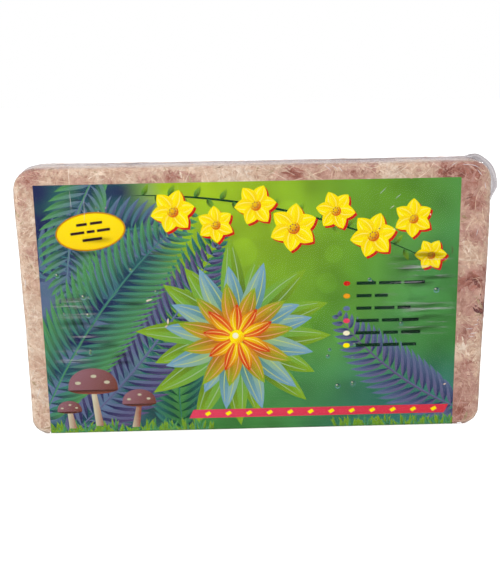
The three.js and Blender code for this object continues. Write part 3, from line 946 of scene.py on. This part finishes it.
def cut_into_faces(outlines):
    """Flat triangles that fill the card, and the number of the topmost outline over each."""
    columns, rows = np.arange(2, CARD_WIDTH - 1, 2.5), np.arange(2, CARD_HEIGHT - 1, 2.5)
    grid = np.stack(np.meshgrid(columns, rows), 2).reshape(-1, 2)
    loose = grid + np.random.default_rng(81).uniform(-0.4, 0.4, grid.shape)
    ends = np.cumsum([0] + [len(outline) for outline in outlines])
    rounds = [list(range(a, b)) for a, b in zip(ends[:-1], ends[1:])]
    corners = [Vector(p) for p in np.concatenate([*outlines, loose])]
    places, _, faces, _, _, inside = delaunay_2d_cdt(corners, [], rounds, 1, 1e-4, True)
    on_card = np.array([0 in found for found in inside])
    top = np.array([max(found, default=0) for found in inside])[on_card]
    used, faces = np.unique(np.array(faces)[on_card], return_inverse=True)
    return np.array([tuple(p) for p in places])[used], faces.reshape(-1, 3), top


def printed_card():
    """The card: one flat sheet whose inks meet edge to edge, with its plain edges and back."""
    art = draw_artwork()
    flat, faces, top = cut_into_faces(art.outlines)
    inks = np.zeros((len(faces), 3, 3))
    for i, shade in enumerate(art.shades):
        chosen = top == i
        if chosen.any():
            inks[chosen] = shade(flat[faces[chosen]].reshape(-1, 2)).reshape(-1, 3, 3)
    bm = bmesh.new()
    vertices = [bm.verts.new((CARD_LOW[0] + x, CARD_LOW[1], CARD_LOW[2] + z)) for x, z in flat]
    ink = bm.loops.layers.float_color.new("ink")
    for corners, colors in zip(faces, inks):
        for loop, color in zip(bm.faces.new([vertices[i] for i in corners]).loops, colors):
            loop[ink] = (*color, 1)
    rim = [e for e in bm.edges if e.is_boundary]
    behind = bmesh.ops.duplicate(bm, geom=rim)["geom"]
    back_rim = [g for g in behind if isinstance(g, bmesh.types.BMEdge)]
    back_vertices = [g for g in behind if isinstance(g, bmesh.types.BMVert)]
    bmesh.ops.translate(bm, verts=back_vertices, vec=(0, CARD_THICKNESS, 0))
    bmesh.ops.bridge_loops(bm, edges=rim + back_rim)
    bmesh.ops.edgeloop_fill(bm, edges=back_rim)
    for loop in itertools.chain.from_iterable(face.loops for face in bm.faces[len(faces):]):
        loop[ink] = BARE_CARD
    bmesh.ops.recalc_face_normals(bm, faces=bm.faces[:])
    card = add_piece(finished_mesh("label_card_printed", bm, print_material()))
    card.data.polygons.foreach_set("use_smooth", [False] * len(card.data.polygons))
    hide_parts("label_card")
    return card


# Loose bits caught between the card and the film: x and z on the card, length, width, turn and colour
CAUGHT_BITS = [
    (46.4, 60.5, 2.8, 0.9, 0.3, CREAM), (54.2, 50.9, 2.6, 1.1, 1.5, STRAW), (53.4, 48.6, 1.4, 0.8, 0.7, TAN),
    (145.7, 89.8, 0.7, 0.6, 0.0, DARK), (152, 89.3, 1.0, 0.35, 0.8, CREAM),
    (167.3, 95.4, 0.8, 0.5, 1.3, CREAM), (151, 99, 2.2, 0.2, 0.6, CREAM), (176, 19, 1.3, 0.6, 0.4, STRAW),
    (30, 101, 0.6, 0.3, 0.2, CREAM), (99, 55, 0.7, 0.5, 1.0, TAN),
]
CAUGHT_FIBRE = (176.5, 79.8)


def caught_bits(material):
    """Moss crumbs and one dark fibre that lie on the card under the film."""
    bm = bmesh.new()
    tint = bm.verts.layers.float_color.new("tint")
    random = np.random.default_rng(400)

    def lay(x, z, widths, color):
        """A flattened tube on the card's face."""
        line = np.stack([x, 0 * x - 0.1, z], axis=1) + CARD_LOW
        sideways = unit(np.gradient(line, axis=0))[:, ::-1] * [-1, 0, 1] * widths[:, None] / 2
        upward = np.outer(np.minimum(widths, 0.7), (0, -0.14, 0))
        for vertex in add_swept(bm, oval_rings(line, sideways, upward, 6)):
            vertex[tint] = (*color, 1)

    for x, z, length, width, turn, color in CAUGHT_BITS:
        t = np.linspace(-0.5, 0.5, 6)
        along, bend = length * t, random.uniform(-0.3, 0.3) * t**2 * length
        widths = width * (1 - 3.2 * t**2) * random.uniform(0.75, 1.1, len(t))
        lay(x + along * cos(turn) - bend * sin(turn), z + along * sin(turn) + bend, widths, color)
    x, z = CAUGHT_FIBRE
    t = np.linspace(-1, 1, 14)
    lay(x + 0.9 * (1 - t**2), z - 2.3 * t + 0.5 * t**3, 0.26 * (1.1 - t**2), DARK)
    bits = add_piece(finished_mesh("moss_bits_under_film", bm, material))
    return bits


# ---------------------------------------------------------------- shrink film

# Folds across the card's right third: x, z, length and turn in degrees
RIPPLES = [
    (72, 77, 30, 2), (75, 69, 34, -3), (70, 62, 32, 4), (76, 54, 26, -2), (73, 47, 24, 5), (-78, 58, 22, -3),
    (-74, 48, 26, 3), (-80, 36, 18, -4),
]
RIPPLE_HEIGHT, RIPPLE_WIDTH = 0.4, 1.0

# Painted shade: dark streaks painted into the film's tint where the folds turn from the light: x, z, length
# and turn in degrees
STREAKS = [
    (71, 56, 25, 1), (72.5, 50.4, 26, 1), (72, 45.6, 18, 2), (72, 65.8, 14, -2), (66, 72.5, 10, 3),
    (-79, 62.2, 12, 0), (-52, 59, 12, -4), (-77, 51, 18, -3), (-66, 49.2, 11, 4), (-64, 41, 10, 5),
    (-58.5, 36, 10, 4), (-58, 32.6, 10, 4), (-72, 82, 14, -6), (-66, 88, 13, -6),
]
STREAK_WIDTH = 0.85

# The trim seal at mid-depth, with its ear at the top right corner and a tuck on the right side
SEAL_HEIGHT, SEAL_WAVE, SEAL_SUNK, SEAL_FOOT = 0.55, 0.14, 1.1, 9
SEAL_THICKNESS, BEAD = 0.14, 0.2
# How high the ear stands, from the top right corner's start on along the outline
EAR = [(-2, 0), (0, 0.9), (3, 2.5), (6, 3.0), (9, 4.0), (12, 4.5), (16.5, 5.4), (19, 4.7), (22, 3.2), (26, 0)]
TUCK_HEIGHT, TUCK_REACH, TUCK_LEVEL = 0.8, 5, 67

# Sharp creases on the front: x, z, length and turn in degrees; the rest are spread round the pack
FRONT_CREASES = [
    (84.8, 118, 4, 55), (31.5, 117, 5, -50), (34.5, 117, 4, -50), (37, 116, 3, -55), (97.5, 49, 1.6, 60),
    (97, 47, 2.2, 20), (96, 43, 3.0, 10), (-76.5, 105, 9, 92), (-71, 101, 11, 88), (55, 106.5, 4, 45),
    (61.5, 104, 3, 40), (95.5, 88, 3, 80), (-98, 70, 4, 84), (-96, 20, 5, 70), (93.5, 116.3, 5, -24),
    (95.5, 113.5, 4, -52), (90, 117, 4, -10), (98, 108, 3, -78), (94, 45, 3.4, 4), (95, 41.5, 2.6, -6),
]
CREASE_COUNT, CREASE_WIDTH, CREASE_HEIGHT = 60, 0.17, 0.09
CREASE_SHARES = {(1, 1): 0.6, (0, 1): 0.16, (0, -1): 0.08, (2, 1): 0.16}

# How far the film stays over the pieces that it is tight on, how far in and out of its resting surface
# the tight skin may lie, and how far out its folds may stand
FILM_GAP, FILM_RANGE, FILM_REACH = 0.08, (-1.4, 1.5), 1.7

# Vent holes through the back of the film
VENTS = [(-50, 84), (6, 92), (54, 82)]
VENT_RADIUS, VENT_LIP = 2.0, 0.26


def solid_height(pieces, p, normal):
    """How high the pieces stand over the film's resting surface at each of its points."""
    vertices, faces = [], []
    for piece in pieces:
        mesh = piece.data
        co = np.empty(len(mesh.vertices) * 3)
        mesh.vertices.foreach_get("co", co)
        faces += [[i + len(vertices) for i in polygon.vertices] for polygon in mesh.polygons]
        vertices += (co.reshape(-1, 3) / MM).tolist()
    tree = BVHTree.FromPolygons(vertices, faces)
    reach = 3
    height = np.full(len(p), -float(reach))
    for i, (place, out) in enumerate(zip(p, normal)):
        hit = tree.ray_cast(Vector(place + reach * out), Vector(-out), 2 * reach)
        if hit[0] is not None:
            height[i] = reach - hit[3]
    return height


def stretched_over(height, edges, gap, passes):
    """A tight skin over those heights: it touches the high points and spans the hollows."""
    first, second = edges.T
    peak = height.copy()
    np.maximum.at(peak, first, height[second])
    np.maximum.at(peak, second, height[first])
    low = 0.5 * (peak + height) + gap
    skin = low.copy()
    count = np.bincount(edges.ravel(), minlength=len(height))
    for _ in range(passes):
        total = np.bincount(first, skin[second], len(height)) + np.bincount(second, skin[first], len(height))
        skin = np.maximum(low, total / count)
    return skin


def along_fold(p, x, z, length, turn):
    """How far each point is from a wavy line across the front, and how near to its middle."""
    along = (p[:, 0] - x) * cos(radians(turn)) + (p[:, 2] - z) * sin(radians(turn))
    off = (p[:, 2] - z) * cos(radians(turn)) - (p[:, 0] - x) * sin(radians(turn))
    return off + 0.5 * np.sin(along / 4 + x), np.clip(1 - (2 * along / length) ** 2, 0, 1)


def ripple_relief(p):
    """The folds' height, how creased the film is round them and how much painted shade darkens their streaks,
    on the front.
    """
    height, creased, dark = np.zeros((3, len(p)))
    for ripple in RIPPLES:
        off, fade = along_fold(p, *ripple)
        height += RIPPLE_HEIGHT * hump(off, RIPPLE_WIDTH) * fade
        creased += hump(off, 4) * fade
    for streak in STREAKS:
        off, fade = along_fold(p, *streak)
        dark += 0.75 * hump(off, STREAK_WIDTH) * fade
    front = smoothstep(-p[:, 1], 6, 9)
    return height * front, np.minimum(creased, 1) * front, np.minimum(dark, 0.9) * front


def gather_relief(p, normal):
    """Short pleats where the film is drawn to its trim seal, and how cloudy it is there, with a painted sheen
    that is strongest where the film faces up.
    """
    y = p[:, 1]
    on_edge = smoothstep(1 - np.abs(normal[:, 1]), 0.5, 0.95) * smoothstep(p[:, 2], SEAL_FOOT, 2 * SEAL_FOOT)
    pleats = soft_noise(p * [1, 0.22, 1], 1.9, 41) * hump(y, 6)
    # Painted sheen: the haze is stronger on faces turned up to the light
    upward = 0.35 + 0.65 * smoothstep(normal[:, 2], 0.5, 0.9)
    cloud_and_sheen = upward * (0.3 + 0.7 * hump(y, 7)) * (1 + 0.3 * soft_noise(p, 3, 42))
    return on_edge * (0.3 * hump(y, 1.6) + 0.16 * pleats), on_edge * cloud_and_sheen


def corner_relief(p):
    """Pleats that fan out over the corners, where the film shrank most."""
    height = np.zeros(len(p))
    for x, z, reach in ((-91, 109, 15), (92, 110.5, 15), (-93, 7, 11), (92, 7.5, 11)):
        dx, dz = p[:, 0] - x, p[:, 2] - z
        away = np.hypot(dx, dz)
        outward = smoothstep(dx * np.sign(x) + dz * np.sign(z - PACK_HEIGHT / 2), -2, 6)
        fan = np.sin(20 * np.arctan2(dz, dx) + 0.25 * away)
        height += 0.09 * fan * outward * smoothstep(away, 3, 8) * (1 - smoothstep(away, reach - 4, reach))
    return height


def vent_relief(p):
    """Pleats that spread from the vents in the back, and how creased the film is round them."""
    height, drawn = np.zeros((2, len(p)))
    for x, z in VENTS:
        dx, dz = p[:, 0] - x, p[:, 2] - z
        near = hump(np.hypot(dx, dz) - VENT_RADIUS, 5)
        height += 0.1 * near * (1 + np.sin(11 * np.arctan2(dz, dx)))
        drawn += near
    back = smoothstep(p[:, 1], 6, 9)
    loose = 0.45 * smoothstep(soft_noise(p, 24, 44), 0.0, 0.5)
    return height * back, np.maximum(drawn, loose) * back


def film_wrap(pieces, material):
    """The film: a tight skin over the pieces, with its folds, pleats and vents."""
    bm, p = block_lattice(OUTSIDE, (198, 20, 118))
    normal = OUTSIDE.normal(p)
    edges = np.array([[v.index for v in e.verts] for e in bm.edges])
    skin = np.clip(stretched_over(solid_height(pieces, p, normal), edges, FILM_GAP, 14), *FILM_RANGE)
    skin = np.where(normal[:, 2] < -0.95, np.maximum(skin, -0.05), skin)
    ripple, creased, dark = ripple_relief(p)
    fan, drawn = vent_relief(p)
    pleat, haze_and_painted_sheen = gather_relief(p, normal)
    skin = np.minimum(skin + ripple + fan + pleat + np.abs(corner_relief(p)), FILM_REACH)
    p = p + normal * skin[:, None]
    p[:, 2] = np.maximum(p[:, 2], 0)
    mark_vertices(bm, "creased", np.maximum(creased, drawn))
    mark_vertices(bm, "haze_and_painted_sheen", haze_and_painted_sheen)
    # The streaks' painted shade darkens the film's tint
    mark_vertices(bm, "scorch_and_shade", dark)
    move_vertices(bm, p)
    rims = [cut_vent(bm, x, z) for x, z in VENTS]
    film = add_piece(finished_mesh("film_wrap_clear", bm, material))
    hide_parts("film_wrap")
    return film, rims


def cut_vent(bm, x, z):
    """Cuts a round vent in the back of the film and gives the level of its rim."""
    def away(place):
        return np.hypot(place.x - x, place.z - z)

    hole = [f for f in bm.faces if f.normal.y > 0.5 and away(f.calc_center_median()) < VENT_RADIUS]
    bmesh.ops.delete(bm, geom=hole, context="FACES")
    rim = {v for e in bm.edges if e.is_boundary for v in e.verts if away(v.co) < 2 * VENT_RADIUS}
    level = float(np.mean([v.co.y for v in rim]))
    for vertex in rim:
        share = VENT_RADIUS / away(vertex.co)
        vertex.co = (x + (vertex.co.x - x) * share, level, z + (vertex.co.z - z) * share)
    return x, level, z


def vent_lips(rims, material):
    """The thicker lips that shrinking leaves round the vents."""
    bm = bmesh.new()
    around = np.linspace(0, tau, 40, endpoint=False)
    out = np.stack([np.cos(around), 0 * around, np.sin(around)], axis=1)
    radius = VENT_RADIUS + 0.05 * np.sin(5 * around)
    upward = np.broadcast_to((0, VENT_LIP, 0), out.shape)
    for rim in rims:
        add_swept(bm, oval_rings(rim + out * radius[:, None], VENT_LIP * out, upward, 8), loop=True)
    mark_vertices(bm, "scorch_and_shade", itertools.repeat(0.45))
    lips = add_piece(finished_mesh("film_vent_lips", bm, material))
    return lips


def film_creases(film, material):
    """Short sharp creases hazed white as painted glints: some at known places on the front, more all round.
    """
    random = np.random.default_rng(500)
    x, z, known_length, turn = np.array(FRONT_CREASES).T
    turn = np.radians(turn)
    known = np.stack([x, 0 * x + OUTSIDE.middle - OUTSIDE.half_depth, z], axis=1)
    start = OUTSIDE.settle(np.concatenate([known, points_on(OUTSIDE, CREASE_COUNT, CREASE_SHARES, random)]))
    heading = np.stack([np.cos(turn), 0 * turn, np.sin(turn)], axis=1)
    heading = np.concatenate([heading, random.normal(size=(CREASE_COUNT, 3))])
    heading = laid_flat(heading, OUTSIDE.normal(start))
    length = np.concatenate([known_length, random.uniform(2, 8, CREASE_COUNT)])
    # Painted glints: the known creases on the front are hazed brightest, the rest less, and none over the
    # card
    bright = np.where(under_card(start), 0, np.where(np.arange(len(start)) < len(known), 1.3, 0.3))
    skin = BVHTree.FromPolygons(
        [v.co / MM for v in film.data.vertices], [polygon.vertices[:] for polygon in film.data.polygons],
    )
    bm = bmesh.new()
    haze_and_painted_sheen = bm.verts.layers.float.new("haze_and_painted_sheen")
    t = np.linspace(-0.5, 0.5, 8)
    slim = (1 - 3.6 * t**2)[:, None]
    for place, way, reach, share in zip(start, heading, length, bright):
        line = OUTSIDE.settle(place + np.outer(t * reach, way))
        out = OUTSIDE.normal(line)
        found = [skin.ray_cast(Vector(p + 3 * o), Vector(-o), 6)[0] for p, o in zip(line, out)]
        if None in found:
            continue
        across = CREASE_WIDTH / 2 * slim * np.cross(out, way)
        for vertex in add_swept(bm, oval_rings(np.array(found), across, CREASE_HEIGHT * slim * out, 6)):
            vertex[haze_and_painted_sheen] = share
    creases = add_piece(finished_mesh("film_creases", bm, material))
    return creases


def pack_outline(step=0.8):
    """The pack's outline at mid-depth from foot to foot over the top, with its outward directions."""
    half, top = PACK_WIDTH / 2, PACK_HEIGHT
    left, right = CORNER_TOP_LEFT, CORNER_TOP_RIGHT

    def straight(x0, z0, x1, z1, out):
        count = int(np.hypot(x1 - x0, z1 - z0) / step)
        t = np.arange(count)[:, None] / count
        return np.array([x0, z0]) * (1 - t) + np.array([x1, z1]) * t, np.broadcast_to(out, (count, 2))

    def arc(x, z, radius, start, end):
        out = compass(np.linspace(start, end, int(radius * pi / 2 / step), endpoint=False))
        return np.array([x, z]) + radius * out, out

    runs = [
        straight(-half, SEAL_FOOT, -half, top - left, (-1, 0)),
        arc(-half + left, top - left, left, pi, pi / 2),
        straight(-half + left, top, half - right, top, (0, 1)),
        arc(half - right, top - right, right, pi / 2, 0),
        straight(half, top - right, half, SEAL_FOOT, (1, 0)),
    ]
    return (np.concatenate(parts) for parts in zip(*runs))


def seal_height(place):
    """It starts above the foot, swells to the ear round the corner and stands up at the tuck."""
    x, z = place.T
    travelled = np.concatenate([[0], np.cumsum(np.linalg.norm(np.diff(place, axis=0), axis=1))])
    corner = travelled[np.argmax((x > PACK_WIDTH / 2 - CORNER_TOP_RIGHT) & (z > PACK_HEIGHT / 2))]
    ear = np.interp(travelled - corner, *zip(*EAR))
    tuck = TUCK_HEIGHT * np.where(x > 0, hump(z - TUCK_LEVEL, TUCK_REACH), 0)
    wave = SEAL_WAVE * np.sin(x / 2.7 + z / 2.1)
    return (SEAL_HEIGHT + wave + ear + tuck) * smoothstep(z, SEAL_FOOT, 2 * SEAL_FOOT) + 0.02


def trim_seal(material):
    """A thin fin of film round the top and sides, with the scorched bead of the cut along its edge and bands
    of painted shade over its ear and tuck.
    """
    (x, z), (out_x, out_z) = (rows.T[..., None] for rows in pack_outline())
    path = np.concatenate([x, 0 * x, z], axis=1)
    height = seal_height(path[:, [0, 2]])[:, None]
    fin = np.linspace(0, 1, 10)[:-1]
    bead = np.linspace(-0.6, pi + 0.6, 7)
    side = np.concatenate([fin**0, np.cos(bead) * BEAD / SEAL_THICKNESS * 2, -(fin**0)])
    share = np.concatenate([fin, bead**0, fin[::-1]])
    lift = np.concatenate([0 * fin, BEAD * np.sin(bead), 0 * fin])
    reach = -SEAL_SUNK + share * (height + SEAL_SUNK - 2 * BEAD) + lift + BEAD
    flap = share**2 * np.clip((height - SEAL_HEIGHT) / 2.5, 0, 1)
    travelled = np.arange(len(path))[:, None]
    sway = 0.12 * share * np.sin(travelled / 3.1) + flap * (0.9 * np.sin(travelled / 2.6) - 0.7)
    rings = np.stack([x + out_x * reach, side * SEAL_THICKNESS / 2 + sway, z + out_z * reach], axis=2)
    bm = bmesh.new()
    add_swept(bm, rings)
    edge = KDTree(len(path))
    for i, tip in enumerate(rings[:, len(fin) + len(bead) // 2]):
        edge.insert(tip, i)
    edge.balance()
    raised = smoothstep(height[:, 0], 1, 2)
    scorch = np.maximum(0.1 + 0.8 * smoothstep(soft_noise(path, 13, 46), 0.3, 0.6), 0.72 * raised)
    _, nearest, distance = zip(*(edge.find(vertex.co) for vertex in bm.verts))
    nearest, distance = list(nearest), np.array(distance)
    at_rim = 1 - smoothstep(distance, BEAD, 2 * BEAD)
    # Away from the bead, the raised ear and tuck get bands of painted shade for their folds
    pleat = 0.62 + 0.16 * np.sin(3.4 * distance + 5 * soft_noise(path, 6, 47)[nearest])
    mark_vertices(bm, "scorch_and_shade", scorch[nearest] * at_rim + pleat * raised[nearest] * (1 - at_rim))
    seal = add_piece(finished_mesh("film_trim_seal", bm, material))
    return seal


# ---------------------------------------------------------------- the scene

# In metres and degrees, with the lens as a share of its frame's width
CAMERA_PLACE = (-0.0078, -0.3949, 0.1615)
CAMERA_TURN = (75.628, 1.0075, -1.148)
FOCAL_WIDTH_SHARE = 919.6 / 500

FLOOR_GLOW = 0.72


def camera():
    lens = bpy.data.cameras.new("camera")
    lens.sensor_fit = "HORIZONTAL"
    lens.sensor_width = 36
    lens.lens = FOCAL_WIDTH_SHARE * lens.sensor_width
    lens.clip_start = 0.01
    holder = add_object("camera", lens)
    holder.location = CAMERA_PLACE
    holder.rotation_euler = [radians(turn) for turn in CAMERA_TURN]
    bpy.context.scene.camera = holder


def soft_light(name, place, size, power):
    lamp = bpy.data.lights.new(name, "AREA")
    lamp.shape, lamp.size, lamp.energy = "DISK", size, power
    holder = add_object(name, lamp)
    holder.location = place
    holder.rotation_euler = (Vector((0, 0, 0.06)) - Vector(place)).to_track_quat("-Z", "Y").to_euler()


def studio():
    """White light from all round, a glowing floor and a soft lamp on either side."""
    world = bpy.data.worlds.new("studio")
    world.use_nodes = True
    world.node_tree.nodes["Background"].inputs["Color"].default_value = (1, 1, 1, 1)
    bpy.context.scene.world = world
    bpy.context.scene.view_settings.view_transform = "Standard"
    soft_light("key", (-0.5, -0.75, 0.8), size=0.1, power=7.5)
    soft_light("fill", (0.62, 0.7, 0.6), size=0.12, power=6.5)
    material, _, shader = new_material("pale_floor", (0.45, 0.45, 0.45), 0.7)
    shader.inputs["Emission Color"].default_value = (1, 1, 1, 1)
    shader.inputs["Emission Strength"].default_value = FLOOR_GLOW
    bm = bmesh.new()
    bmesh.ops.create_grid(bm, x_segments=1, y_segments=1, size=3)
    floor = add_object("floor", finished_mesh("floor", bm, material))


camera()
studio()
moss = strand_material()
brick = [
    moss_core(), *(moss_branchlets(part, moss) for part in range(3)), moss_stems(moss), moss_heads(moss),
    moss_flakes(moss),
]
card = printed_card()
bits = caught_bits(moss)
clear_film, gathered_film, creased_film = (film_material(*finish) for finish in FILM_FINISHES)
film, vent_rims = film_wrap([*brick, card, bits], clear_film)
film_creases(film, creased_film)
vent_lips(vent_rims, gathered_film)
trim_seal(gathered_film)
